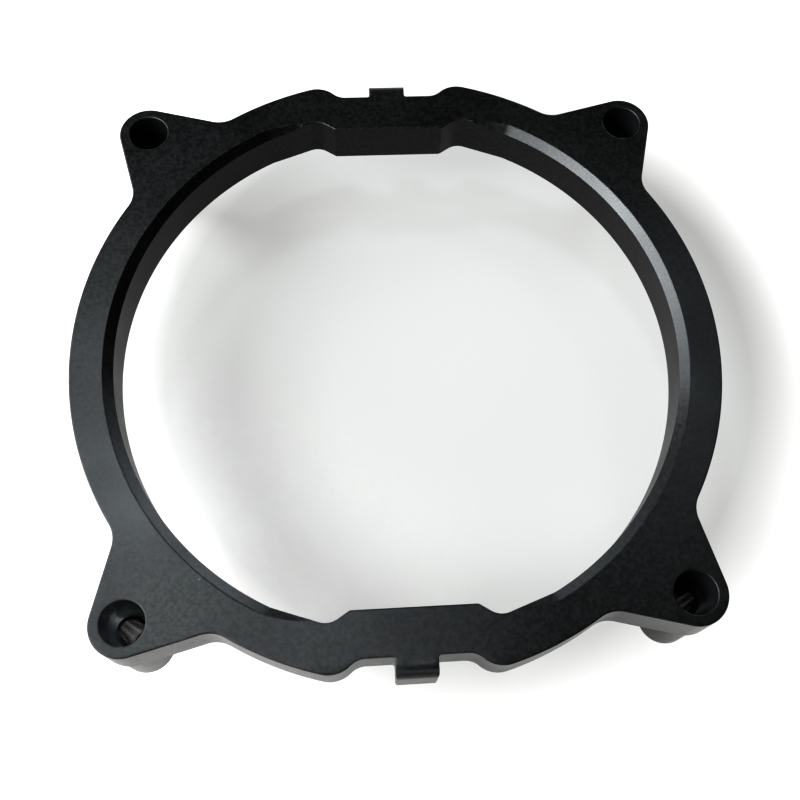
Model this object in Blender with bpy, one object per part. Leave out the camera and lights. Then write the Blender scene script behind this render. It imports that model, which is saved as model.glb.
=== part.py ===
"""CPU cooler mounting frame: one moulded plastic ring with four lugs, feet and split collets.

The ring lies flat, top face up. Each corner lug has a bore for a push pin, and under it a round foot
that stands on the board. Below the foot a split collet goes through the board, and the pin spreads it.
Two clip tabs stand on the outer flats, front and back. Metres, +Z up, the collet tips at z = 0 and the
Z axis through the middle of the four bores.
"""

import math

import bpy
import numpy as np

MM = 0.001

# Ring, seen from above
BORE_SPACING = 80.0 * MM
RING_RADIUS = 50.0 * MM
RING_WIDTH = 6.4 * MM
RING_HEIGHT = 8.0 * MM

# Outer flats, front and back, and the shoulders that lead to them
FLAT_SET_BACK = 3.5 * MM
SHOULDER_FROM_MIDDLE = 12.0 * MM
SHOULDER_RADIUS = 4.3 * MM
SHOULDER_HOLLOW_RADIUS = 3.0 * MM

# Corner lugs
LUG_RADIUS = 4.72 * MM
LUG_FLANK_DEG = 14.5
LUG_ROOT_RADIUS = 4.3 * MM

# Clip tabs on the outer flats
TAB_WIDTH = 5.95 * MM
TAB_REACH = 2.8 * MM
TAB_CORNER_RADIUS = 0.4 * MM
TAB_ROOT_RADIUS = 0.4 * MM
TAB_ROLL_RADIUS = 2.0 * MM

# Through opening: pads with a flat face at front and back, each with a notch at both ends
PAD_PROUD = 3.75 * MM
PAD_WIDTH = 18.0 * MM
PAD_CORNER_RADIUS = 0.8 * MM
NOTCH_FROM_PAD = 2.95 * MM
NOTCH_DEPTH = 1.9 * MM
NOTCH_RADIUS = 3.0 * MM
NOTCH_TO_ROUND = 8.05 * MM

# Bevel round the top of the through opening, on the left and right stretches
BEVEL_WIDTH = 1.45 * MM
BEVEL_DEPTH = 1.05 * MM
BEVEL_SHORT_OF_NOTCH = 1.05 * MM

# Feet, pin bores and collets
FOOT_RADIUS = 4.1 * MM
FOOT_DROP = 12.0 * MM
BORE_RADIUS = 3.1 * MM
BORE_DEPTH = 7.0 * MM
PIN_HOLE_RADIUS = 1.85 * MM
LEAD_IN_WIDTH = 0.35 * MM
LEAD_IN_DEPTH = 0.5 * MM
COLLET_RADIUS = 1.95 * MM
COLLET_REACH = 4.5 * MM
COLLET_WALL = 0.75 * MM
BARB_PROUD = 0.2 * MM
BARB_FROM_FOOT = 1.9 * MM
BARB_RISE = 0.35 * MM
COLLET_TIP_TAPER = 0.45 * MM
SLOT_WIDTH = 0.7 * MM
SLOT_INTO_FOOT = 1.5 * MM
SLOT_PAST_COLLET = 0.3 * MM
RELIEF_PAST_SLOT = 0.15 * MM
RELIEF_DEPTH = 0.4 * MM

# Edges
EDGE_RADIUS = 0.25 * MM
LOWER_CHAMFER = 0.15 * MM
EDGE_STEPS = 2

# Fineness of the faceted curves, and how far a cutter runs past what it cuts
CHORD_ERROR = 0.025 * MM
WIDEST_STEP_DEG = 15.0
ROUND_STEPS = 24
OVERRUN = 1.0 * MM

# Levels and places worked out from the sizes above
FOOT_LEVEL = COLLET_REACH
UNDERSIDE = FOOT_LEVEL + FOOT_DROP
TOP = UNDERSIDE + RING_HEIGHT
BORE_FLOOR = TOP - BORE_DEPTH
BORE_OUT = BORE_SPACING / 2
OPENING_RADIUS = RING_RADIUS - RING_WIDTH
FLAT_OUT = RING_RADIUS - FLAT_SET_BACK
TAB_OUT = FLAT_OUT + TAB_REACH
PAD_OUT = OPENING_RADIUS - PAD_PROUD
COLLET_HOLE_RADIUS = COLLET_RADIUS - COLLET_WALL
SLOT_OUT = COLLET_RADIUS + BARB_PROUD + SLOT_PAST_COLLET
RELIEF_RADIUS = SLOT_OUT + RELIEF_PAST_SLOT

PLASTIC_COLOUR = (0.018, 0.019, 0.021, 1.0)
PLASTIC_ROUGHNESS = 0.42


def clear_scene():
    for old in list(bpy.data.objects):
        bpy.data.objects.remove(old, do_unlink=True)


def arc(centre, radius, start_deg, end_deg):
    """Points and outward normals of an arc of an outline that runs round its inside to the left.

    An arc that turns left is a bulge, and one that turns right is a hollow."""
    turn = end_deg - start_deg
    widest = 2 * math.degrees(math.acos(1 - min(CHORD_ERROR / radius, 1)))
    steps = max(2, math.ceil(abs(turn) / min(widest, WIDEST_STEP_DEG)))
    angles = np.radians(np.linspace(start_deg, end_deg, steps + 1))
    spokes = np.column_stack((np.cos(angles), np.sin(angles)))
    return np.asarray(centre) + radius * spokes, math.copysign(1, turn) * spokes


def direction_deg(vector):
    return math.degrees(math.atan2(vector[1], vector[0]))


def rounded_corner(before, corner, after, radius):
    """The arc that rounds the corner between two straight edges of an outline."""
    before, corner, after = (np.asarray(point, float) for point in (before, corner, after))
    into = (corner - before) / np.linalg.norm(corner - before)
    out = (after - corner) / np.linalg.norm(after - corner)
    turn = math.degrees(math.atan2(into[0] * out[1] - into[1] * out[0], into @ out))
    left = math.copysign(1, turn)
    inward = left * np.array((-into[1], into[0]))
    centre = corner - into * radius * math.tan(math.radians(abs(turn)) / 2) + inward * radius
    start = direction_deg(-inward)
    return arc(centre, radius, start, start + turn)


def whole_outline(quarter):
    """The closed outline whose first quarter, from +X round to +Y, is the given list of arcs."""
    points = np.concatenate([piece[0] for piece in quarter])
    normals = np.concatenate([piece[1] for piece in quarter])
    quarters = []
    for mirror in ((1, 1), (-1, 1), (-1, -1), (1, -1)):
        order = slice(None, None, mirror[0] * mirror[1])
        quarters.append(np.hstack((points * mirror, normals * mirror))[order])
    both = np.concatenate(quarters)
    apart = np.linalg.norm(both[:, :2] - np.roll(both[:, :2], 1, axis=0), axis=1) > 0.02 * MM
    return both[apart, :2], both[apart, 2:]


def outer_outline():
    """Ring circle, lug with hollow roots, shoulder, outer flat and clip tab."""
    flank = math.radians(LUG_FLANK_DEG)
    flank_normal = np.array((math.cos(flank), -math.sin(flank)))
    flank_run = np.array((math.sin(flank), math.cos(flank)))
    lug = np.array((BORE_OUT, BORE_OUT))
    root_reach = RING_RADIUS + LUG_ROOT_RADIUS
    root_out = lug @ flank_normal + LUG_RADIUS + LUG_ROOT_RADIUS
    root = flank_normal * root_out + flank_run * math.sqrt(root_reach**2 - root_out**2)
    root_deg = direction_deg(root)

    shoulder_reach = RING_RADIUS - SHOULDER_RADIUS
    shoulder_y = math.sqrt(shoulder_reach**2 - SHOULDER_FROM_MIDDLE**2)
    shoulder = np.array((SHOULDER_FROM_MIDDLE, shoulder_y))
    hollow_y = FLAT_OUT + SHOULDER_HOLLOW_RADIUS
    between = SHOULDER_RADIUS + SHOULDER_HOLLOW_RADIUS
    hollow = np.array((SHOULDER_FROM_MIDDLE - math.sqrt(between**2 - (hollow_y - shoulder_y)**2), hollow_y))
    over_deg = direction_deg(hollow - shoulder)

    tab_root = (TAB_WIDTH / 2 + TAB_ROOT_RADIUS, FLAT_OUT + TAB_ROOT_RADIUS)
    tab_corner = (TAB_WIDTH / 2 - TAB_CORNER_RADIUS, TAB_OUT - TAB_CORNER_RADIUS)
    return whole_outline([
        arc((0, 0), RING_RADIUS, 0, root_deg),
        arc(root, LUG_ROOT_RADIUS, root_deg + 180, 180 - LUG_FLANK_DEG),
        arc(lug, LUG_RADIUS, -LUG_FLANK_DEG, 90 + LUG_FLANK_DEG),
        arc(root[::-1], LUG_ROOT_RADIUS, 270 + LUG_FLANK_DEG, 270 - root_deg),
        arc((0, 0), RING_RADIUS, 90 - root_deg, direction_deg(shoulder)),
        arc(shoulder, SHOULDER_RADIUS, direction_deg(shoulder), over_deg),
        arc(hollow, SHOULDER_HOLLOW_RADIUS, over_deg - 180, -90),
        arc(tab_root, TAB_ROOT_RADIUS, -90, -180),
        arc(tab_corner, TAB_CORNER_RADIUS, 0, 90),
    ])


def notch_corner():
    """The sharp corner that the notch beside a pad is rounded from."""
    return np.array((PAD_WIDTH / 2 + NOTCH_FROM_PAD, PAD_OUT + NOTCH_DEPTH))


def opening_outline():
    """Round stretch, straight run to the notch, notch, and the flat face of the pad."""
    notch = notch_corner()
    round_x = notch[0] + NOTCH_TO_ROUND
    round_end = np.array((round_x, math.sqrt(OPENING_RADIUS**2 - round_x**2)))
    pad_corner = (PAD_WIDTH / 2, PAD_OUT)
    return whole_outline([
        arc((0, 0), OPENING_RADIUS, 0, direction_deg(round_end)),
        rounded_corner(round_end, notch, pad_corner, NOTCH_RADIUS),
        rounded_corner(notch, pad_corner, (0, PAD_OUT), PAD_CORNER_RADIUS),
    ])


def make_object(name, points, faces, helper=True):
    mesh = bpy.data.meshes.new(name)
    mesh.from_pydata(points, [], faces)
    made = bpy.data.objects.new(name, mesh)
    bpy.context.scene.collection.objects.link(made)
    if helper:
        made.hide_render = True
        made.display_type = "WIRE"
    return made


def loft(name, loops, helper=True):
    """A closed solid through equal closed loops, from the lowest to the highest, with flat ends."""
    count = len(loops[0])
    here = np.arange(count)
    ahead = np.roll(here, -1)
    sides = []
    for level in range(len(loops) - 1):
        low = level * count
        high = low + count
        sides += np.column_stack((low + here, low + ahead, high + ahead, high + here)).tolist()
    bottom = here[::-1].tolist()
    top = (here + count * (len(loops) - 1)).tolist()
    return make_object(name, np.concatenate(loops).tolist(), sides + [bottom, top], helper)


def loop_at(outline, outward, height):
    """The outline moved outward along its normals, at a height."""
    points, normals = outline
    moved = points + outward * normals
    return np.column_stack((moved, np.full(len(moved), height)))


def turned(name, profile, centre):
    """A solid of revolution about a vertical axis, from (radius, height) pairs from its low end to its top."""
    angles = np.linspace(0, 2 * math.pi, ROUND_STEPS, endpoint=False)
    circle = np.column_stack((np.cos(angles), np.sin(angles)))
    return loft(name, [
        np.column_stack((circle * radius + centre, np.full(ROUND_STEPS, height)))
        for radius, height in profile
    ])


def edge_round():
    """(inset, drop) pairs round a top edge, from the wall up to the face."""
    turns = [math.pi / 2 * step / EDGE_STEPS for step in range(EDGE_STEPS + 1)]
    return [(EDGE_RADIUS * (1 - math.cos(a)), EDGE_RADIUS * (1 - math.sin(a))) for a in turns]


def combine(body, other, operation):
    """A live Boolean of the body with a helper."""
    modifier = body.modifiers.new(other.name, "BOOLEAN")
    modifier.operation = operation
    modifier.object = other
    modifier.solver = "EXACT"


def make_ring():
    """The flat blank: the outer outline with rounded top edges and a small chamfer below."""
    outline = outer_outline()
    loops = [loop_at(outline, -LOWER_CHAMFER, UNDERSIDE)]
    loops.append(loop_at(outline, 0, UNDERSIDE + LOWER_CHAMFER))
    loops += [loop_at(outline, -inset, TOP - drop) for inset, drop in edge_round()]
    return loft("mounting_frame", loops, helper=False)


def opening_cutter():
    """The through opening, flared at the top so that its rim comes out rounded."""
    outline = opening_outline()
    loops = [loop_at(outline, 0, UNDERSIDE - OVERRUN)]
    loops += [loop_at(outline, inset, TOP - drop) for inset, drop in edge_round()]
    loops.append(loop_at(outline, EDGE_RADIUS, TOP + OVERRUN))
    return loft("opening", loops)


def bevel_cutter(side):
    """The cone that bevels one round stretch of the opening, stopped square before the notches.

    Its ends start in the open notch, halfway from the notch's corner to its wall on the pad's side."""
    notch = notch_corner()
    stop = notch[1] - BEVEL_SHORT_OF_NOTCH
    inner_x = notch[0] - NOTCH_FROM_PAD * BEVEL_SHORT_OF_NOTCH / NOTCH_DEPTH / 2
    widening = BEVEL_WIDTH / BEVEL_DEPTH
    depth_below = BEVEL_DEPTH + OVERRUN / 4
    loops = []
    for above in (-depth_below, OVERRUN):
        radius = OPENING_RADIUS + BEVEL_WIDTH + above * widening
        end_deg = math.degrees(math.asin(stop / radius))
        angles = np.radians(np.linspace(-end_deg, end_deg, 2 * ROUND_STEPS + 1))
        curve = radius * np.column_stack((np.cos(angles), np.sin(angles)))
        curve = np.vstack(((inner_x, -stop), curve, (inner_x, stop)))
        if side < 0:
            curve = -curve
        loops.append(np.column_stack((curve, np.full(len(curve), TOP + above))))
    return loft("bevel_right" if side > 0 else "bevel_left", loops)


def roll_cutter(side):
    """What is cut off the outer top edge of a clip tab, to leave it rolled over."""
    inner = TAB_OUT - TAB_ROLL_RADIUS
    lower = TOP - TAB_ROLL_RADIUS
    turns = np.linspace(math.pi / 2, 0, ROUND_STEPS // 4 + 1)
    rolled = [(inner + TAB_ROLL_RADIUS * math.cos(a), lower + TAB_ROLL_RADIUS * math.sin(a)) for a in turns]
    past = [(TAB_OUT + OVERRUN, lower), (TAB_OUT + OVERRUN, TOP + OVERRUN), (inner, TOP + OVERRUN)]
    profile = np.array(rolled + past)
    ends = (-TAB_WIDTH, TAB_WIDTH) if side > 0 else (TAB_WIDTH, -TAB_WIDTH)
    loops = [np.column_stack((np.full(len(profile), x), side * profile[:, 0], profile[:, 1])) for x in ends]
    return loft("roll_back" if side > 0 else "roll_front", loops)


def foot(name, centre):
    """The round foot with the collet below it: a shank, a barb and a tapered tip.

    A shallow recess round the collet's root lets the foot sit flat on the rim of the board hole."""
    barb = FOOT_LEVEL - BARB_FROM_FOOT
    recess = FOOT_LEVEL + RELIEF_DEPTH
    return turned(name, [
        (COLLET_RADIUS - COLLET_TIP_TAPER, 0),
        (COLLET_RADIUS + BARB_PROUD, barb - BARB_RISE),
        (COLLET_RADIUS, barb),
        (COLLET_RADIUS, recess),
        (RELIEF_RADIUS, recess),
        (RELIEF_RADIUS, FOOT_LEVEL),
        (FOOT_RADIUS - EDGE_RADIUS, FOOT_LEVEL),
        (FOOT_RADIUS, FOOT_LEVEL + EDGE_RADIUS),
        (FOOT_RADIUS, UNDERSIDE + RING_HEIGHT / 2),
    ], centre)


def bore(name, centre):
    """The pin's way through: bore, floor, lead-in, pin hole, and the narrower hole in the collet."""
    rim = [(BORE_RADIUS + inset, TOP - drop) for inset, drop in edge_round()]
    return turned(name, [
        (COLLET_HOLE_RADIUS, -OVERRUN),
        (COLLET_HOLE_RADIUS, FOOT_LEVEL),
        (PIN_HOLE_RADIUS, FOOT_LEVEL + SLOT_INTO_FOOT),
        (PIN_HOLE_RADIUS, BORE_FLOOR - LEAD_IN_DEPTH),
        (PIN_HOLE_RADIUS + LEAD_IN_WIDTH, BORE_FLOOR),
        (BORE_RADIUS, BORE_FLOOR),
        *rim,
        (BORE_RADIUS + EDGE_RADIUS, TOP + OVERRUN),
    ], centre)


def slot(name, centre, along):
    """One of the two crossing cuts that split a collet into four fingers."""
    half = np.array((SLOT_OUT, SLOT_WIDTH / 2))[::along]
    corners = np.array(((-1, -1), (1, -1), (1, 1), (-1, 1))) * half + centre
    heights = (-OVERRUN, FOOT_LEVEL + SLOT_INTO_FOOT)
    return loft(name, [np.column_stack((corners, np.full(4, height))) for height in heights])


def black_plastic():
    material = bpy.data.materials.new("black_plastic")
    material.use_nodes = True
    shader = material.node_tree.nodes["Principled BSDF"]
    shader.inputs["Base Color"].default_value = PLASTIC_COLOUR
    shader.inputs["Roughness"].default_value = PLASTIC_ROUGHNESS
    shader.inputs["Metallic"].default_value = 0.0
    return material


def build():
    clear_scene()
    frame = make_ring()
    frame.data.materials.append(black_plastic())
    corners = [(BORE_OUT * x, BORE_OUT * y) for x in (-1, 1) for y in (-1, 1)]
    for number, centre in enumerate(corners):
        combine(frame, foot(f"foot_{number}", centre), "UNION")
    combine(frame, opening_cutter(), "DIFFERENCE")
    for side in (-1, 1):
        combine(frame, bevel_cutter(side), "DIFFERENCE")
        combine(frame, roll_cutter(side), "DIFFERENCE")
    for number, centre in enumerate(corners):
        combine(frame, bore(f"bore_{number}", centre), "DIFFERENCE")
        for along in (1, -1):
            combine(frame, slot(f"slot_{number}_{along}", centre, along), "DIFFERENCE")


build()
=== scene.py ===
# %% [markdown]
# # A processor cooler's mounting frame, in black moulded plastic
#
# The object is one piece that comes whole out of a mould: a flat ring about 100 mm across, with four corner
# lugs. Each lug has a stepped bore for a push pin and stands on a round foot. Below the foot a split collet
# goes through the board. The engineering solid already has every size, so this lesson starts from it, builds
# a finer surface with rounded edges over it, gives that a moulded finish, and lights it like a photograph.
#
# First the engineering model is loaded as a fixed frame. It is never moved, and what is made here is placed
# by it. All lengths are metres, so a helper value turns millimetres into metres.

# %% Load the engineering model
import math

import bpy
import numpy as np
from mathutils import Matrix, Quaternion, Vector


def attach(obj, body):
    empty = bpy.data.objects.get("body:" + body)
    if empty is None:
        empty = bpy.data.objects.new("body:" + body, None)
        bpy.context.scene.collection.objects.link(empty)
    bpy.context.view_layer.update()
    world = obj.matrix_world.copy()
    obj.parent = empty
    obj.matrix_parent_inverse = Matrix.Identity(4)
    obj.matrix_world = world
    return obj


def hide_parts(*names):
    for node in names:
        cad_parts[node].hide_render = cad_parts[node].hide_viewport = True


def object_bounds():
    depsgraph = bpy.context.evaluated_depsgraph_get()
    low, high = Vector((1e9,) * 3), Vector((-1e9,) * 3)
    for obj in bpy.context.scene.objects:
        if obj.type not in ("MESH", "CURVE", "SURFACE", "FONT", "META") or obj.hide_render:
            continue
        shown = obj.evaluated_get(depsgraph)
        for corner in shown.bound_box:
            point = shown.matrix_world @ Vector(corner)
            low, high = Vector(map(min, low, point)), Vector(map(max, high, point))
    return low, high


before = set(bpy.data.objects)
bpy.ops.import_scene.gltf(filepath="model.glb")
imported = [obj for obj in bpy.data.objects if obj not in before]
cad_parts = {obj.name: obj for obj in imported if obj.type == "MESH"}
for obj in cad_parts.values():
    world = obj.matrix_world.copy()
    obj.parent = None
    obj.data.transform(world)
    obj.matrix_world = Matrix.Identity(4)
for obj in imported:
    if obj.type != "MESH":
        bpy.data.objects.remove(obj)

MM = 0.001
cad_low, cad_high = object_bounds()
print("engineering model, mm:", [round(length / MM, 2) for length in cad_high - cad_low])

# %% [markdown]
# ## The sizes
#
# The frame is a ring cut by many arcs, and each arc needs a radius and a place. The largest of them are read
# from the engineering model: how far the ring reaches, how high its top face is and how far the clip tabs
# stand out. The rest are the designer's own sizes, written once, each under a name. A size that follows
# from others is worked out, so that the surface stays whole when one of them is changed.

# %% Sizes of the ring, the lugs and the tabs
TOP = cad_high.z
RING_RADIUS = cad_high.x
TAB_OUT = cad_high.y
RING_WIDTH = 6.4 * MM
RING_HEIGHT = 8.0 * MM
FLAT_SET_BACK = 3.5 * MM
FLAT_OUT = RING_RADIUS - FLAT_SET_BACK
SHOULDER_FROM_MIDDLE = 12.0 * MM
SHOULDER_RADIUS = 4.3 * MM
SHOULDER_HOLLOW_RADIUS = 3.0 * MM
BORE_OUT = 40.0 * MM
LUG_RADIUS = 4.72 * MM
LUG_FLANK_DEG = 14.5
LUG_ROOT_RADIUS = 4.3 * MM
TAB_WIDTH = 5.95 * MM
TAB_CORNER_RADIUS = 0.4 * MM
TAB_ROLL_RADIUS = 2.0 * MM
EDGE_RADIUS = 0.25 * MM
UNDERSIDE = TOP - RING_HEIGHT
print("top face and underside, mm:", round(TOP / MM, 2), round(UNDERSIDE / MM, 2))

# %% Sizes of the opening and its bevel
OPENING_RADIUS = RING_RADIUS - RING_WIDTH
PAD_PROUD = 3.75 * MM
PAD_OUT = OPENING_RADIUS - PAD_PROUD
PAD_WIDTH = 18.0 * MM
PAD_CORNER_RADIUS = 0.8 * MM
NOTCH_FROM_PAD = 2.95 * MM
NOTCH_DEPTH = 1.9 * MM
NOTCH_RADIUS = 3.0 * MM
NOTCH_TO_ROUND = 8.05 * MM
BEVEL_WIDTH = 1.45 * MM
BEVEL_DEPTH = 1.05 * MM
BEVEL_NOSE_SHARE = 0.7
print("opening across, mm:", round(2 * OPENING_RADIUS / MM, 2))
print("between the pads, mm:", round(2 * PAD_OUT / MM, 2))

# %% [markdown]
# ## Outlines made of arcs
#
# Seen from above, the frame's edge is a chain of arcs that run smoothly into each other: ring, hollow root,
# lug, root, ring, shoulder, flat and clip tab. It could be drawn as a Bezier curve by hand, but then no
# radius would be exact. Here each arc is worked out from its centre and radius with whole numpy arrays, and
# each point also keeps the direction that faces out of the material. Those directions are what later lets a
# rounded edge be carried round the whole outline.

# %% One arc, fine enough that its chords don't show
CHORD_ERROR = 0.003 * MM
WIDEST_STEP_DEG = 6.0


def arc(centre, radius, start_deg, end_deg):
    """Points and outward directions of an arc.

    At angle t the point is centre + radius * (cos t, sin t). The direction is (cos t, sin t) on a bulge,
    which turns left, and minus that in a hollow, which turns right."""
    turn = end_deg - start_deg
    step = 2 * math.degrees(math.acos(1 - CHORD_ERROR / radius))
    count = max(3, math.ceil(abs(turn) / min(step, WIDEST_STEP_DEG)))
    t = np.radians(np.linspace(start_deg, end_deg, count + 1))
    spokes = np.column_stack((np.cos(t), np.sin(t)))
    return np.asarray(centre) + radius * spokes, math.copysign(1, turn) * spokes


def heading(vector):
    """The angle in degrees of a flat vector, from +X."""
    return math.degrees(math.atan2(vector[1], vector[0]))


print("points in a quarter of the ring's edge:", len(arc((0, 0), RING_RADIUS, 0, 90)[0]))

# %% Four mirrored quarters make a closed outline
SAME_POINT = 0.002 * MM


def whole_outline(quarter):
    """The closed outline whose first quarter, from +X round to +Y, is the given list of arcs.

    Each quarter is the first one times (+-1, +-1), read backwards where one mirror alone is used."""
    points = np.concatenate([piece[0] for piece in quarter])
    outward = np.concatenate([piece[1] for piece in quarter])
    parts = []
    for mirror in ((1, 1), (-1, 1), (-1, -1), (1, -1)):
        order = slice(None, None, mirror[0] * mirror[1])
        parts.append(np.hstack((points * mirror, outward * mirror))[order])
    both = np.concatenate(parts)
    gaps = np.linalg.norm(both[:, :2] - np.roll(both[:, :2], 1, axis=0), axis=1)
    kept = both[gaps > SAME_POINT]
    return kept[:, :2], kept[:, 2:]


print("points in a whole circle:", len(whole_outline([arc((0, 0), RING_RADIUS, 0, 90)])[0]))

# %% [markdown]
# ## The outer edge
#
# A lug is a round end with two straight flanks, and a small hollow root leads each flank into the ring. The
# centre of that root is found as a machinist would: it lies one root radius outside the ring's circle and
# one root radius outside the flank's line, and those two distances fix it. The shoulder beside the flat is
# found the same way. The clip tab stands in the middle of the flat, where a cooler's hook catches.

# %% Outer outline
def outer_outline():
    """Ring, lug with two roots, ring, shoulder and its hollow, root and corner of the tab.

    The root's centre c solves |c| = ring + r and c . n = lug . n + lug radius + r, where n is the normal of
    the flank and r the root's radius."""
    flank = math.radians(LUG_FLANK_DEG)
    normal = np.array((math.cos(flank), -math.sin(flank)))
    along = np.array((math.sin(flank), math.cos(flank)))
    lug = np.array((BORE_OUT, BORE_OUT))
    reach = RING_RADIUS + LUG_ROOT_RADIUS
    out = lug @ normal + LUG_RADIUS + LUG_ROOT_RADIUS
    root = normal * out + along * math.sqrt(reach**2 - out**2)
    root_deg = heading(root)
    shoulder_y = math.sqrt((RING_RADIUS - SHOULDER_RADIUS)**2 - SHOULDER_FROM_MIDDLE**2)
    shoulder = np.array((SHOULDER_FROM_MIDDLE, shoulder_y))
    hollow_y = FLAT_OUT + SHOULDER_HOLLOW_RADIUS
    apart = SHOULDER_RADIUS + SHOULDER_HOLLOW_RADIUS
    hollow = np.array((SHOULDER_FROM_MIDDLE - math.sqrt(apart**2 - (hollow_y - shoulder_y)**2), hollow_y))
    over_deg = heading(hollow - shoulder)
    tab_root = (TAB_WIDTH / 2 + TAB_CORNER_RADIUS, FLAT_OUT + TAB_CORNER_RADIUS)
    tab_corner = (TAB_WIDTH / 2 - TAB_CORNER_RADIUS, TAB_OUT - TAB_CORNER_RADIUS)
    return whole_outline([
        arc((0, 0), RING_RADIUS, 0, root_deg),
        arc(root, LUG_ROOT_RADIUS, root_deg + 180, 180 - LUG_FLANK_DEG),
        arc(lug, LUG_RADIUS, -LUG_FLANK_DEG, 90 + LUG_FLANK_DEG),
        arc(root[::-1], LUG_ROOT_RADIUS, 270 + LUG_FLANK_DEG, 270 - root_deg),
        arc((0, 0), RING_RADIUS, 90 - root_deg, heading(shoulder)),
        arc(shoulder, SHOULDER_RADIUS, heading(shoulder), over_deg),
        arc(hollow, SHOULDER_HOLLOW_RADIUS, over_deg - 180, -90),
        arc(tab_root, TAB_CORNER_RADIUS, -90, -180),
        arc(tab_corner, TAB_CORNER_RADIUS, 0, 90),
    ])


outer = outer_outline()
print("outer outline points:", len(outer[0]))

# %% [markdown]
# ## The opening
#
# The cooler's metal foot reaches through the ring. Left and right the opening is round. At front and back a
# flat pad stands in, with a rounded notch at both of its ends. The corners between straight stretches are
# rounded by one helper that takes the two edges and a radius, as a fillet tool does.

# %% Opening outline
def rounded_corner(before, corner, after, radius):
    """The arc that rounds a corner.

    It touches both edges at radius * tan(turn / 2) from the corner, with its centre one radius inside."""
    before, corner, after = (np.asarray(point, float) for point in (before, corner, after))
    into = (corner - before) / np.linalg.norm(corner - before)
    out = (after - corner) / np.linalg.norm(after - corner)
    turn = math.degrees(math.atan2(into[0] * out[1] - into[1] * out[0], into @ out))
    inward = math.copysign(1, turn) * np.array((-into[1], into[0]))
    centre = corner - into * radius * math.tan(math.radians(abs(turn)) / 2) + inward * radius
    return arc(centre, radius, heading(-inward), heading(-inward) + turn)


def opening_round_end():
    """Where the round stretch ends: at x = notch + run, on the circle x^2 + y^2 = R^2."""
    round_x = notch[0] + NOTCH_TO_ROUND
    return np.array((round_x, math.sqrt(OPENING_RADIUS**2 - round_x**2)))


def opening_outline():
    """Round stretch, straight run, rounded notch, and rounded corner of the pad with its flat face."""
    round_end = opening_round_end()
    pad_corner = (PAD_WIDTH / 2, PAD_OUT)
    return whole_outline([
        arc((0, 0), OPENING_RADIUS, 0, heading(round_end)),
        rounded_corner(round_end, notch, pad_corner, NOTCH_RADIUS),
        rounded_corner(notch, pad_corner, (0, PAD_OUT), PAD_CORNER_RADIUS),
    ])


notch = np.array((PAD_WIDTH / 2 + NOTCH_FROM_PAD, PAD_OUT + NOTCH_DEPTH))
opening = opening_outline()
print("opening outline points:", len(opening[0]))

# %% [markdown]
# ## Surfaces as grids
#
# Every surface here is one grid with two parameters. One runs along a profile, such as a wall with a rounded
# edge, and the other runs round an outline. Shifting the outline outward by the profile's first number and
# lifting it by the second gives the whole grid at once. A turned part, such as a bore, is the same thing
# round an outline that has shrunk to a point. The grid then becomes a closed mesh with flat ends.

# %% Carry a profile round an outline, and turn the grid into a mesh
def carry(profile, outline):
    """A grid of points with one row for each profile point.

    For outline point p with outward direction n, the profile point (out, up) gives (p + out * n, up)."""
    points, outward = outline
    out, up = np.asarray(profile, float).T
    flat = points + out[:, None, None] * outward
    heights = np.broadcast_to(up[:, None, None], flat.shape[:2] + (1,))
    return np.concatenate((flat, heights), axis=2)


def closed_mesh(name, grid):
    """A closed shell with two flat ends.

    Each quad joins four neighbours of the grid, and the last column joins on to the first."""
    rows, columns = grid.shape[:2]
    here = np.arange(rows * columns).reshape(rows, columns)
    ahead = np.roll(here, -1, axis=1)
    quads = np.stack((here[:-1], ahead[:-1], ahead[1:], here[1:]), axis=-1).reshape(-1, 4)
    ends = [here[0, ::-1].tolist(), here[-1].tolist()]
    mesh = bpy.data.meshes.new(name)
    mesh.from_pydata(grid.reshape(-1, 3).tolist(), [], quads.tolist() + ends)
    made = bpy.data.objects.new(name, mesh)
    bpy.context.scene.collection.objects.link(made)
    return made


print("a plain wall's grid:", carry([(0, UNDERSIDE), (0, TOP)], outer).shape)

# %% A rounded edge as a profile
EDGE_STEPS = 6


def rounded_edge(wall, face, radius, out_sign, up_sign):
    """Quarter circle from a wall to a flat face, as (out, up) pairs.

    It goes from (wall, face - up_sign * radius) to (wall - out_sign * radius, face), by cosine and sine."""
    t = np.linspace(0, math.pi / 2, EDGE_STEPS + 1)
    out = wall - out_sign * radius * (1 - np.cos(t))
    up = face - up_sign * radius * (1 - np.sin(t))
    return np.column_stack((out, up))


LOWER_RADIUS = 0.15 * MM
lower_edge = rounded_edge(0, UNDERSIDE, LOWER_RADIUS, 1, -1)[::-1]
upper_edge = rounded_edge(0, TOP, EDGE_RADIUS, 1, 1)
blank_grid = carry(np.vstack((lower_edge, upper_edge)), outer)
moulded_frame = closed_mesh("moulded_frame", blank_grid)
print("blank grid, rows by columns:", blank_grid.shape[:2])

# %% [markdown]
# ## Feet with split collets
#
# Under each lug stands a round foot, and from the foot's face hangs a collet: a thin tube with a barb, split
# in four, that the push pin spreads behind the board. All of this is round, so it could be made with the
# Spin tool. A profile carried round a point does the same in one array step, with each radius under a name.
# A shallow recess round the collet's root keeps the foot flat on the rim of the board hole.

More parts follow.
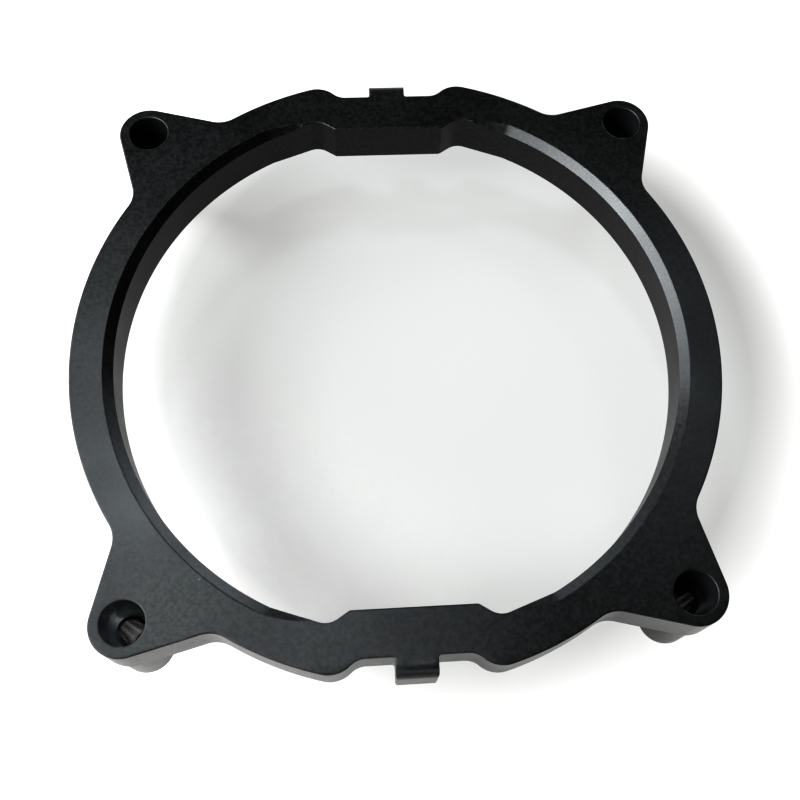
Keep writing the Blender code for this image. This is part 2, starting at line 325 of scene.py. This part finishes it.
# %% Profile of a foot and its collet
FOOT_LEVEL = 4.5 * MM
FOOT_RADIUS = 4.1 * MM
COLLET_RADIUS = 1.95 * MM
BARB_PROUD = 0.2 * MM
BARB_BELOW_FOOT = 1.9 * MM
BARB_LEVEL = FOOT_LEVEL - BARB_BELOW_FOOT
BARB_RISE = 0.35 * MM
TIP_TAPER = 0.45 * MM
SLOT_PAST_BARB = 0.3 * MM
SLOT_OUT = COLLET_RADIUS + BARB_PROUD + SLOT_PAST_BARB
RECESS_PAST_SLOT = 0.15 * MM
RECESS_RADIUS = SLOT_OUT + RECESS_PAST_SLOT
RECESS_DEPTH = 0.4 * MM
RECESS_LEVEL = FOOT_LEVEL + RECESS_DEPTH
TURN_STEPS = 96


def round_about(centre):
    """An outline that is one point, with outward directions (cos t, sin t) for t all the way round."""
    t = np.linspace(0, 2 * math.pi, TURN_STEPS, endpoint=False)
    spokes = np.column_stack((np.cos(t), np.sin(t)))
    return np.broadcast_to(centre, spokes.shape), spokes


foot_profile = np.vstack((
    [(COLLET_RADIUS - TIP_TAPER, 0)],
    [(COLLET_RADIUS + BARB_PROUD, BARB_LEVEL - BARB_RISE), (COLLET_RADIUS, BARB_LEVEL)],
    [(COLLET_RADIUS, RECESS_LEVEL), (RECESS_RADIUS, RECESS_LEVEL), (RECESS_RADIUS, FOOT_LEVEL)],
    rounded_edge(FOOT_RADIUS, FOOT_LEVEL, EDGE_RADIUS, 1, -1)[::-1],
    [(FOOT_RADIUS, UNDERSIDE + RING_HEIGHT / 2)],
))
print("foot profile points:", len(foot_profile))

# %% [markdown]
# ## Cutters for the opening and the bores
#
# A hole could be left out of the grid, but the bores, the bevel and the slots cross each other, and then the
# grids would have to be stitched by hand. Blender's exact Boolean does that stitching: each cutter is itself
# a grid, flared at the top so that the rim it leaves is rounded. The bore is stepped: a wide part for the
# pin's thick end, a floor with a lead-in, a pin hole, and a narrower hole through the collet.

# %% Profiles of the opening and of a bore
OVERRUN = 1.0 * MM
BORE_RADIUS = 3.1 * MM
BORE_DEPTH = 7.0 * MM
BORE_FLOOR = TOP - BORE_DEPTH
PIN_HOLE_RADIUS = 1.85 * MM
LEAD_IN_WIDTH = 0.35 * MM
LEAD_IN_DEPTH = 0.5 * MM
COLLET_WALL = 0.75 * MM
COLLET_HOLE_RADIUS = COLLET_RADIUS - COLLET_WALL
SLOT_INTO_FOOT = 1.5 * MM
SLOT_TOP = FOOT_LEVEL + SLOT_INTO_FOOT
SLOT_WIDTH = 0.7 * MM

opening_profile = np.vstack((
    [(0, UNDERSIDE - OVERRUN)],
    rounded_edge(0, TOP, EDGE_RADIUS, -1, 1),
    [(EDGE_RADIUS, TOP + OVERRUN)],
))
bore_profile = np.vstack((
    [(COLLET_HOLE_RADIUS, -OVERRUN), (COLLET_HOLE_RADIUS, FOOT_LEVEL), (PIN_HOLE_RADIUS, SLOT_TOP)],
    [(PIN_HOLE_RADIUS, BORE_FLOOR - LEAD_IN_DEPTH), (PIN_HOLE_RADIUS + LEAD_IN_WIDTH, BORE_FLOOR)],
    [(BORE_RADIUS, BORE_FLOOR)],
    rounded_edge(BORE_RADIUS, TOP, EDGE_RADIUS, -1, 1),
    [(BORE_RADIUS + EDGE_RADIUS, TOP + OVERRUN)],
))
print("bore profile points:", len(bore_profile))

# %% [markdown]
# ## The bevel of the opening
#
# A wide bevel guides the cooler's foot into the ring. It follows the round stretches of the opening, and
# toward each notch it narrows and runs out in a round nose. A Bevel modifier keeps one width all along, so it
# can't make that nose. Here the bevel's section, a slope with a small fillet on its upper edge, is carried
# along a path of its own, and it grows or shrinks by a share that goes with each point.

# %% The path of a bevel, from the front notch to the back one
NOSE_STEPS = 24
NOSE_END_SHARE = 0.02
KINK_SHARE = 0.15


def bevel_path():
    """Points, outward directions and share of the full width along one round stretch of the opening.

    On the circle the share s is 1. On the straight run to each notch it falls from 1 to almost 0 while the
    distance grows as u = 1 - s^2, which gives a round nose. Just after the kink between the circle and the
    run, the direction turns from the one to the other."""
    round_end = opening_round_end()
    points, outward = arc((0, 0), OPENING_RADIUS, 0, heading(round_end))
    share = np.linspace(1, NOSE_END_SHARE, NOSE_STEPS + 1)[1:]
    u = 1 - share[:, None]**2
    run = notch - round_end
    first, last = heading(round_end), heading(run) - 90
    t = np.radians(first + (last - first) * np.minimum(1, u / KINK_SHARE))
    shares = np.concatenate((np.ones(len(points)), share))
    points = np.vstack((points, round_end + run * BEVEL_NOSE_SHARE * u))
    outward = np.vstack((outward, np.hstack((np.cos(t), np.sin(t)))))
    flip = np.array((1, -1))
    points = np.vstack((points[:0:-1] * flip, points))
    outward = np.vstack((outward[:0:-1] * flip, outward))
    return points, outward, np.concatenate((shares[:0:-1], shares))


print("bevel path points:", len(bevel_path()[0]))

# %% The bevel's cross-section, carried along its path
BEVEL_EDGE_RADIUS = 0.3 * MM
CUTTER_INTO_OPENING = 0.4 * MM


def bevel_grid(side):
    """What the bevel cuts away: at share s of the full width, the section is fixed + s * growing.

    Both are (out, up) pairs in the order air, fillet, slope, air, so the grid faces outward. The slope falls
    by the bevel's depth over its width, and the fillet bends from flat to that slope."""
    slope = math.atan2(BEVEL_DEPTH, BEVEL_WIDTH)
    t = np.linspace(0, slope, EDGE_STEPS + 1)
    rim = BEVEL_WIDTH + BEVEL_EDGE_RADIUS * math.tan(slope / 2)
    fillet = np.column_stack((rim - BEVEL_EDGE_RADIUS * np.sin(t), BEVEL_EDGE_RADIUS * (np.cos(t) - 1)))
    growing = np.vstack(([(0, 0), (rim, 0)], fillet, [(0, -BEVEL_DEPTH)]))
    fixed = np.zeros_like(growing)
    fixed[:2, 1] = OVERRUN
    fixed[0, 0] = -CUTTER_INTO_OPENING
    fixed[-1] = (-CUTTER_INTO_OPENING, -CUTTER_INTO_OPENING * math.tan(slope))
    points, outward, share = bevel_path()
    section = fixed + share[:, None, None] * growing
    flat = points[:, None] + section[..., :1] * outward[:, None]
    return np.concatenate((side * flat, TOP + section[..., 1:]), axis=2)


print("bevel grid, rows by columns:", bevel_grid(1).shape[:2])

# %% [markdown]
# ## The rolled clip tabs and the slots of the collets
#
# The tab's outer top edge is rolled over, so that a wire or hook rides up over it as it is pressed down. The
# cutter is what lies outside that roll: a quarter circle carried straight across the tab. A collet is split
# by two narrow slots that cross, and each of them is a plain box, made as a grid of two rows.

# %% What is cut off a tab and out of a collet
ROLL_STEPS = 24


def roll_grid(side):
    """Quarter circle (inner + r cos t, lower + r sin t) and the corner outside it, carried along X."""
    t = np.linspace(math.pi / 2, 0, ROLL_STEPS + 1)
    inner = TAB_OUT - TAB_ROLL_RADIUS
    lower = TOP - TAB_ROLL_RADIUS
    roll = np.column_stack((inner + TAB_ROLL_RADIUS * np.cos(t), lower + TAB_ROLL_RADIUS * np.sin(t)))
    corner = [(TAB_OUT + OVERRUN, lower), (TAB_OUT + OVERRUN, TOP + OVERRUN), (inner, TOP + OVERRUN)]
    across = np.vstack((roll, corner))
    x = side * np.array((-TAB_WIDTH, TAB_WIDTH))[:, None] * np.ones(len(across))
    y = np.broadcast_to(side * across[:, 0], x.shape)
    z = np.broadcast_to(across[:, 1], x.shape)
    return np.stack((x, y, z), axis=2)


def slot_grid(centre, half_size):
    """A box from below the collet to the slots' top: four corners of a rectangle at two heights."""
    corners = np.array(((-1, -1), (1, -1), (1, 1), (-1, 1))) * half_size + centre
    heights = np.array((-OVERRUN, SLOT_TOP))
    z = np.broadcast_to(heights[:, None, None], (2, 4, 1))
    return np.concatenate((np.broadcast_to(corners, (2, 4, 2)), z), axis=2)


print("roll grid, rows by columns:", roll_grid(1).shape[:2])

# %% [markdown]
# ## One solid
#
# The feet are joined on, then everything else is cut away, in the order in which a mould would form it. The
# Booleans are worked out once and the cutters thrown away, because the finished piece has to stand alone.
# The rounded edges only look round with smooth shading. Edges sharper than a limit stay sharp, and weighted
# normals let the large flat faces keep their own direction right up to the rounding, as real mouldings do.

# %% Join, cut and settle the mesh
corners = [np.array((x, y)) * BORE_OUT for x in (-1, 1) for y in (-1, 1)]
steps = [("UNION", carry(foot_profile, round_about(corner))) for corner in corners]
steps.append(("DIFFERENCE", carry(opening_profile, opening)))
for side in (-1, 1):
    steps.append(("DIFFERENCE", bevel_grid(side)))
    steps.append(("DIFFERENCE", roll_grid(side)))
for corner in corners:
    steps.append(("DIFFERENCE", carry(bore_profile, round_about(corner))))
    steps.append(("DIFFERENCE", slot_grid(corner, (SLOT_OUT, SLOT_WIDTH / 2))))
    steps.append(("DIFFERENCE", slot_grid(corner, (SLOT_WIDTH / 2, SLOT_OUT))))

tools = []
for number, (operation, grid) in enumerate(steps):
    tool = closed_mesh(f"tool_{number}", grid)
    tools.append(tool)
    modifier = moulded_frame.modifiers.new(tool.name, "BOOLEAN")
    modifier.operation = operation
    modifier.object = tool
    modifier.solver = "EXACT"

depsgraph = bpy.context.evaluated_depsgraph_get()
settled = bpy.data.meshes.new_from_object(moulded_frame.evaluated_get(depsgraph))
moulded_frame.modifiers.clear()
moulded_frame.data = settled
for tool in tools:
    bpy.data.objects.remove(tool, do_unlink=True)
print("settled mesh, vertices and faces:", len(settled.vertices), len(settled.polygons))

# %% Smooth shading with sharp corners
SHARP_ABOVE_DEG = 28.0
FACE_AREA_WEIGHT = 100

settled.shade_smooth()
settled.set_sharp_from_angle(angle=math.radians(SHARP_ABOVE_DEG))
weighted = moulded_frame.modifiers.new("weighted_normals", "WEIGHTED_NORMAL")
weighted.keep_sharp = True
weighted.weight = FACE_AREA_WEIGHT

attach(moulded_frame, "root")
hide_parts("mounting_frame")
print("sharp edges:", int(sum(edge.use_edge_sharp for edge in settled.edges)))

# %% [markdown]
# ## The plastic
#
# The real frame is black nylon or ABS out of a spark-eroded mould, so its faces are neither matt nor glossy:
# a fine mottle breaks the reflections into a soft, slightly cloudy sheen. An image texture could hold that,
# but it would stretch round the walls. Noise read from Object coordinates is solid, so it has the same grain
# on every face. One fine noise drives four things at their real scale: a little height, a little roughness,
# how strongly the face mirrors, and a trace of colour. A second, wide noise makes the slow changes of gloss
# that a large flat moulding has, and a third leaves a few pale flecks of dust. The bores are shaped by
# polished core pins, so inside them the plastic is smoother. Their colour is also painted a little paler,
# as painted light that lifts their deep walls and floors out of the dark.

# %% A small helper for node graphs
def add_node(tree, kind, **sockets):
    """A shader node with its named input sockets set to numbers or linked to other nodes' outputs."""
    node = tree.nodes.new(kind)
    for label, value in sockets.items():
        socket = node.inputs[label.replace("_", " ")]
        if isinstance(value, bpy.types.NodeSocket):
            tree.links.new(value, socket)
        else:
            socket.default_value = value
    return node


def spread(tree, value, low, high, to_low, to_high):
    """The value moved from the range low to high to the range to_low to to_high, held inside it."""
    node = add_node(tree, "ShaderNodeMapRange", Value=value)
    for label, number in (("From Min", low), ("From Max", high), ("To Min", to_low), ("To Max", to_high)):
        node.inputs[label].default_value = number
    return node.outputs["Result"]


def mixed(tree, share, first, second):
    """The first colour turned into the second by a share from 0 to 1.

    A Mix node has sockets for numbers, vectors and colours. Those for colours are inputs 6 and 7, output 2."""
    node = tree.nodes.new("ShaderNodeMix")
    node.data_type = "RGBA"
    factor, colour_a, colour_b = node.inputs[0], node.inputs[6], node.inputs[7]
    tree.links.new(share, factor)
    for socket, colour in ((colour_a, first), (colour_b, second)):
        if isinstance(colour, bpy.types.NodeSocket):
            tree.links.new(colour, socket)
        else:
            socket.default_value = colour
    return node.outputs[2]


print("node helpers:", add_node.__name__, spread.__name__, mixed.__name__)

# %% Where the bores' own finish and painted light lie
BORE_FINISH_ENDS = (BORE_RADIUS + 0.03 * MM, BORE_RADIUS + 0.06 * MM)


def inside_bores(tree, place):
    """1 inside the four bores, 0 elsewhere, from the distance of (|x|, |y|) to the bore's axis."""
    quarter = tree.nodes.new("ShaderNodeVectorMath")
    quarter.operation = "ABSOLUTE"
    tree.links.new(place, quarter.inputs[0])
    flat = tree.nodes.new("ShaderNodeVectorMath")
    flat.operation = "MULTIPLY"
    tree.links.new(quarter.outputs["Vector"], flat.inputs[0])
    flat.inputs[1].default_value = (1, 1, 0)
    away = tree.nodes.new("ShaderNodeVectorMath")
    away.operation = "DISTANCE"
    tree.links.new(flat.outputs["Vector"], away.inputs[0])
    away.inputs[1].default_value = (BORE_OUT, BORE_OUT, 0)
    return spread(tree, away.outputs["Value"], *BORE_FINISH_ENDS, 1.0, 0.0)


print("bore finish ends between, mm from the axis:", [round(edge / MM, 2) for edge in BORE_FINISH_ENDS])

# %% Black moulded plastic
MOTTLE_PER_M = 1700.0
CLOUD_PER_M = 70.0
FLECK_PER_M = 800.0
SHADE_RANGE = (0.35, 0.65)
MOTTLE_RANGE = (0.38, 0.62)
CLOUD_RANGE = (0.3, 0.7)
FLECK_RANGE = (0.735, 0.76)
DARK = (0.0027, 0.0026, 0.0024, 1.0)
LIGHTER = (0.0054, 0.0052, 0.0048, 1.0)
DUST = (0.07, 0.07, 0.07, 1.0)
# Painted light: the bores' colour is paler than the frame's, so that their deep walls and floors look lit.
PAINTED_BORE_LIGHT = (0.016, 0.016, 0.0165, 1.0)
FINE_ROUGHNESS = (-0.02, 0.04)
WIDE_ROUGHNESS = (0.30, 0.38)
BORE_ROUGHNESS = 0.26
MIRROR_LEVEL = (0.296, 0.374)
BUMP_STRENGTH = 0.5
BUMP_DEPTH = 0.028 * MM


def black_plastic():
    """Black with a mottled sheen: the value of a noise, moved from its own range to the range of each look.

    Roughness is a fine part plus a wide part, apart from the bores, which have one roughness and one colour,
    painted paler there as painted light."""
    material = bpy.data.materials.new("black_plastic_mottled")
    material.use_nodes = True
    tree = material.node_tree
    shader = tree.nodes["Principled BSDF"]
    place = tree.nodes.new("ShaderNodeTexCoord").outputs["Object"]
    noise = "ShaderNodeTexNoise"
    mottle = add_node(tree, noise, Vector=place, Scale=MOTTLE_PER_M, Detail=3.0, Roughness=0.6)
    cloud = add_node(tree, noise, Vector=place, Scale=CLOUD_PER_M, Detail=2.0)
    fleck = add_node(tree, noise, Vector=place, Scale=FLECK_PER_M, Detail=4.0, Roughness=0.7)
    flecks = spread(tree, fleck.outputs["Fac"], *FLECK_RANGE, 0.0, 1.0)
    grain = mixed(tree, spread(tree, mottle.outputs["Fac"], *SHADE_RANGE, 0.0, 1.0), DARK, LIGHTER)
    in_bore = inside_bores(tree, place)
    # Inside the bores the colour changes to the paler painted light.
    colour = mixed(tree, in_bore, mixed(tree, flecks, grain, DUST), PAINTED_BORE_LIGHT)
    tree.links.new(colour, shader.inputs["Base Color"])
    fine = spread(tree, mottle.outputs["Fac"], *MOTTLE_RANGE, *FINE_ROUGHNESS)
    wide = spread(tree, cloud.outputs["Fac"], *CLOUD_RANGE, *WIDE_ROUGHNESS)
    total = tree.nodes.new("ShaderNodeMath")
    tree.links.new(fine, total.inputs[0])
    tree.links.new(wide, total.inputs[1])
    roughness = tree.nodes.new("ShaderNodeMix")
    tree.links.new(in_bore, roughness.inputs["Factor"])
    tree.links.new(total.outputs["Value"], roughness.inputs["A"])
    roughness.inputs["B"].default_value = BORE_ROUGHNESS
    tree.links.new(roughness.outputs["Result"], shader.inputs["Roughness"])
    sheen = spread(tree, mottle.outputs["Fac"], *MOTTLE_RANGE, *MIRROR_LEVEL)
    tree.links.new(sheen, shader.inputs["Specular IOR Level"])
    bump = add_node(tree, "ShaderNodeBump", Strength=BUMP_STRENGTH, Distance=BUMP_DEPTH)
    tree.links.new(mottle.outputs["Fac"], bump.inputs["Height"])
    tree.links.new(bump.outputs["Normal"], shader.inputs["Normal"])
    return material


plastic = black_plastic()
settled.materials.clear()
settled.materials.append(plastic)
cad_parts["mounting_frame"].data.materials.clear()
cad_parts["mounting_frame"].data.materials.append(plastic)
print("plastic nodes:", len(plastic.node_tree.nodes))

# %% [markdown]
# ## The table
#
# The frame stands on its collets on a plain pale table. A large flat plane is enough, because the camera
# looks down on it. A trace of its own light keeps the shadows soft and grey, as in an overexposed picture.
# That light grows outward from near the middle, so the table turns white a little way outside the ring, and
# only the shadows close to the frame stay to be seen.

# %% A pale table under the collets
TABLE_HALF = 1.5
TABLE_COLOUR = (0.14, 0.139, 0.136, 1.0)
TABLE_ROUGHNESS = 0.9
TABLE_MIRROR_LEVEL = 0.1
TABLE_GLOW_COLOUR = (1.0, 0.99, 0.965, 1.0)
TABLE_GLOW = 0.272
GLOW_MIDDLE = Vector((12.0, 8.0, 0)) * MM
GLOW_FROM = 52.0 * MM
GLOW_FULL = 72.0 * MM
GLOW_OUTSIDE = 0.75


def table_plane():
    """A square at z = 0, from the four corners (+-h, +-h).

    Its own light is even near the glow's middle and grows from one distance to a second, where it stays."""
    corners = np.array(((-1, -1, 0), (1, -1, 0), (1, 1, 0), (-1, 1, 0))) * TABLE_HALF
    mesh = bpy.data.meshes.new("table")
    mesh.from_pydata(corners.tolist(), [], [(0, 1, 2, 3)])
    made = bpy.data.objects.new("table", mesh)
    bpy.context.scene.collection.objects.link(made)
    material = bpy.data.materials.new("pale_table")
    material.use_nodes = True
    tree = material.node_tree
    shader = tree.nodes["Principled BSDF"]
    shader.inputs["Base Color"].default_value = TABLE_COLOUR
    shader.inputs["Roughness"].default_value = TABLE_ROUGHNESS
    shader.inputs["Specular IOR Level"].default_value = TABLE_MIRROR_LEVEL
    shader.inputs["Emission Color"].default_value = TABLE_GLOW_COLOUR
    place = tree.nodes.new("ShaderNodeTexCoord").outputs["Object"]
    away = tree.nodes.new("ShaderNodeVectorMath")
    away.operation = "DISTANCE"
    tree.links.new(place, away.inputs[0])
    away.inputs[1].default_value = GLOW_MIDDLE
    glow = spread(tree, away.outputs["Value"], GLOW_FROM, GLOW_FULL, TABLE_GLOW, GLOW_OUTSIDE)
    tree.links.new(glow, shader.inputs["Emission Strength"])
    mesh.materials.append(material)
    return made


table = table_plane()
print("table, m across:", 2 * TABLE_HALF)

# %% [markdown]
# ## The light
#
# A black, half glossy thing shows what it reflects, so each light is placed by asking what a face mirrors to
# the camera. The bevel on the right is bright and mirrors a direction to the left, about 44 degrees up, so a
# wide window of three panes stands there. The top face has a soft sheen on its left side and mirrors spots
# high up behind the frame, so three small lamps hang there. The bevel at the front left mirrors a low place
# far behind, and the roll of the front tab a low place in front: pale walls. All else that the frame mirrors
# is dark, which keeps the plastic black.

# %% Panes of a window, three lamps, and pale walls low down
LIGHT_DISTANCE = 0.9
DAYLIGHT = (0.93, 0.97, 1.0)
LAMPLIGHT = (0.88, 0.96, 1.0)
WALL_LIGHT = (0.86, 0.93, 1.0)

# Azimuth and height in degrees, width and height in metres, watts, colour.
LIGHTS = {
    "window_middle": (190, 45, 0.4, 0.3, 8.4, DAYLIGHT),
    "window_back": (158, 35, 0.4, 0.3, 5.5, DAYLIGHT),
    "window_front": (218, 50, 0.36, 0.3, 4.8, DAYLIGHT),
    "lamp_overhead": (128.5, 69.0, 0.1, 0.1, 1.5, LAMPLIGHT),
    "lamp_behind": (45, 63, 0.12, 0.12, 0.55, LAMPLIGHT),
    "lamp_zenith": (85, 82, 0.1, 0.1, 0.32, LAMPLIGHT),
    "wall_right": (55, 15, 0.5, 0.2, 2.5, WALL_LIGHT),
    "wall_behind": (110, 15, 0.5, 0.2, 1.4, WALL_LIGHT),
    "wall_front": (268, 25, 0.35, 0.4, 1.3, WALL_LIGHT),
}


def area_light(name, azimuth_deg, up_deg, wide, high, watts, colour):
    """A rectangular light that faces the frame from (cos e cos a, cos e sin a, sin e) times its distance."""
    lamp = bpy.data.lights.new(name, "AREA")
    lamp.shape = "RECTANGLE"
    lamp.size = wide
    lamp.size_y = high
    lamp.energy = watts
    lamp.color = colour
    made = bpy.data.objects.new(name, lamp)
    bpy.context.scene.collection.objects.link(made)
    a, e = math.radians(azimuth_deg), math.radians(up_deg)
    unit = Vector((math.cos(e) * math.cos(a), math.cos(e) * math.sin(a), math.sin(e)))
    made.location = unit * LIGHT_DISTANCE
    made.rotation_mode = "QUATERNION"
    made.rotation_quaternion = unit.to_track_quat("Z", "Y")
    made.visible_camera = False
    return made


for name, values in LIGHTS.items():
    area_light(name, *values)
print("lights:", len(LIGHTS), "watts in all:", sum(values[4] for values in LIGHTS.values()))

# %% [markdown]
# ## Light down one bore
#
# A deep bore hides its wall and floor from all of these lights, yet in the photograph the near left one is
# lit far down. What lights it comes along its axis, from near the camera. A stronger lamp there would grey
# the whole top face, so a small light with a narrow spread is aimed at that bore alone.

# %% A narrow beam from beside the camera into the front left bore
BEAM_AZIMUTH_DEG = 320
BEAM_UP_DEG = 74
BEAM_SIZE = 0.04
BEAM_WATTS = 0.014
BEAM_SPREAD_DEG = 5.0

beam = area_light(
    "beam_near_camera", BEAM_AZIMUTH_DEG, BEAM_UP_DEG, BEAM_SIZE, BEAM_SIZE, BEAM_WATTS, LAMPLIGHT)
beam.data.spread = math.radians(BEAM_SPREAD_DEG)
beam.location += Vector((-BORE_OUT, -BORE_OUT, TOP))
print("beam starts at, mm:", [round(length / MM) for length in beam.location])

# %% [markdown]
# ## The room and the film
#
# The walls of the feet and of the ring mirror the room near the horizon, which is pale, and the top face
# mirrors its dark upper part. A picture of a room could be wrapped round the scene, but two colours that
# change over at a low height do the same. The high contrast look is that of a small camera's own processing.

# %% A room that is pale near the horizon and dark above
ROOM_HORIZON = (0.6, 0.6, 0.6, 1.0)
ROOM_ABOVE = (0.012, 0.0115, 0.011, 1.0)
HORIZON_BAND = (0.08, 0.16)

world = bpy.data.worlds.new("dim_room")
bpy.context.scene.world = world
world.use_nodes = True
sky = world.node_tree
background = sky.nodes["Background"]
look = sky.nodes.new("ShaderNodeTexCoord")
parts = sky.nodes.new("ShaderNodeSeparateXYZ")
sky.links.new(look.outputs["Generated"], parts.inputs["Vector"])
height = spread(sky, parts.outputs["Z"], *HORIZON_BAND, 0.0, 1.0)
sky.links.new(mixed(sky, height, ROOM_HORIZON, ROOM_ABOVE), background.inputs["Color"])

bpy.context.scene.view_settings.view_transform = "Standard"
bpy.context.scene.view_settings.look = "Very High Contrast"
print("view transform:", bpy.context.scene.view_settings.view_transform)

# %% [markdown]
# ## The camera
#
# The photograph was taken by hand from about 17 cm above the frame and a little in front of it. The place,
# the point it looks at, the roll and the lens were found by fitting the four bores and the frame's edges.
# The lens is long enough that the ring looks round, but so near that the front lugs look larger.

# %% Set up the camera
CAMERA_PLACE = Vector((-6.95, -67.07, 153.09)) * MM + Vector((0, 0, TOP))
CAMERA_AIM = Vector((4.97, 2.11, 0)) * MM + Vector((0, 0, TOP))
CAMERA_ROLL_DEG = 6.86
LENS_MM = 48.85
SENSOR_WIDTH_MM = 36.0
SHIFT = (-0.0395, -0.0869)
NEAREST_SEEN = 10.0 * MM
IMAGE_SIDE = 800

camera_data = bpy.data.cameras.new("camera")
camera_data.sensor_width = SENSOR_WIDTH_MM
camera_data.lens = LENS_MM
camera_data.shift_x, camera_data.shift_y = SHIFT
camera_data.clip_start = NEAREST_SEEN
camera = bpy.data.objects.new("camera", camera_data)
bpy.context.scene.collection.objects.link(camera)
camera.location = CAMERA_PLACE
camera.rotation_mode = "QUATERNION"
straight = (CAMERA_AIM - CAMERA_PLACE).to_track_quat("-Z", "Y")
camera.rotation_quaternion = straight @ Quaternion((0, 0, 1), math.radians(CAMERA_ROLL_DEG))
bpy.context.scene.camera = camera
bpy.context.view_layer.update()


def pixel_of(point):
    """Where a point falls in the picture: lens / sensor times x and y over depth, plus the shift."""
    seen = camera.matrix_world.inverted() @ Vector(point)
    scale = LENS_MM / SENSOR_WIDTH_MM
    across = 0.5 + scale * seen.x / -seen.z - SHIFT[0]
    up = 0.5 + scale * seen.y / -seen.z - SHIFT[1]
    return round(across * IMAGE_SIDE, 1), round((1 - up) * IMAGE_SIDE, 1)


for corner in corners:
    print("bore at pixel", pixel_of((*corner, TOP)))
